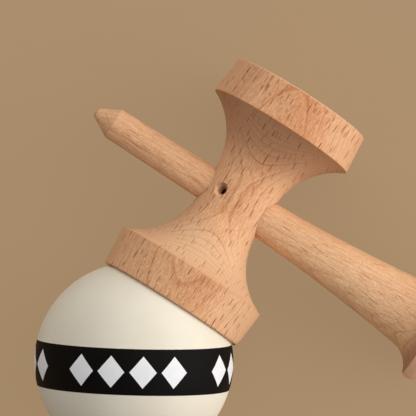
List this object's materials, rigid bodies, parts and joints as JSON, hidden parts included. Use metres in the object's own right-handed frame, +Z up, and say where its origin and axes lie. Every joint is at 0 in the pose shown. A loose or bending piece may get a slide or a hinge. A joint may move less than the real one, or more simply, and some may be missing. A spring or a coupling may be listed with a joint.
{
  "type": "kendama",
  "caption": "Wooden cup-and-ball toy: a stem with a spike and a base cup, a crosspiece with a big and a small cup on a taper fit, and a painted ball with a hole for the spike.",
  "frame": {"origin": "middle of the underside of the toy's box, on the table that it lies on", "axes": "+X along the table from the spike towards the base cup, +Y towards the small cup, +Z up"},
  "size_m": [0.13, 0.126, 0.0601],
  "materials": {
    "ken_wood": "bare sanded beech, grain along the stem",
    "sarado_wood": "bare sanded beech, grain along the crosspiece",
    "tama_paint": "wooden ball in matte cream rubbery paint with a black painted band"
  },
  "bodies": {
    "ken": {"ken": "ken_wood"},
    "sarado": {"sarado": "sarado_wood"},
    "tama": {"tama": "tama_paint"}
  },
  "joints": [
    {"name": "sarado_slide", "type": "slide", "parent": "ken", "child": "sarado", "axis": [-0.9934, 0, 0.1146], "range_m": [0, 0.08]},
    {"name": "tama_lift", "type": "slide", "parent": "sarado", "child": "tama", "axis": [0.0092, -0.9968, 0.0795], "range_m": [0, 0.1]}
  ]
}
